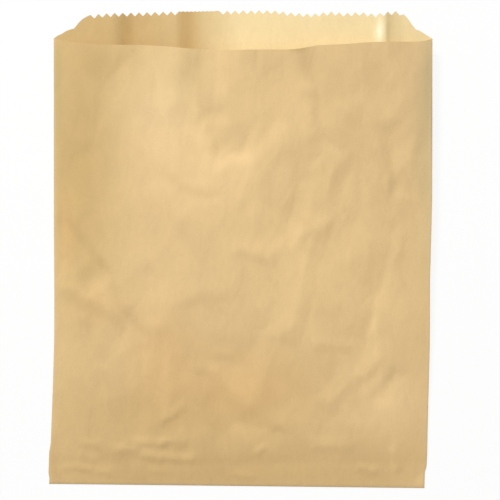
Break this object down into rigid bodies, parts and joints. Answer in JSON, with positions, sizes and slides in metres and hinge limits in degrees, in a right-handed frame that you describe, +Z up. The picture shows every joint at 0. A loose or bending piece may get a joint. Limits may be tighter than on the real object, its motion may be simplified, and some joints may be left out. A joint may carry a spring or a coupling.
{
  "type": "flat paper bag",
  "caption": "Flat brown kraft paper bag with a toothed lip above the mouth, a glued back seam and a folded bottom flap.",
  "frame": {"origin": "middle of the bounding box, on the surface that the bag lies on", "axes": "+X across the bag to the right, +Y from the bottom fold to the mouth, +Z up through the front panel"},
  "size_m": [0.31, 0.3884, 0.0226],
  "materials": {
    "kraft_paper": "matt natural brown kraft, softly creased, paler on the inside"
  },
  "bodies": {
    "root": {"paper_bag": "kraft_paper"}
  },
  "joints": []
}
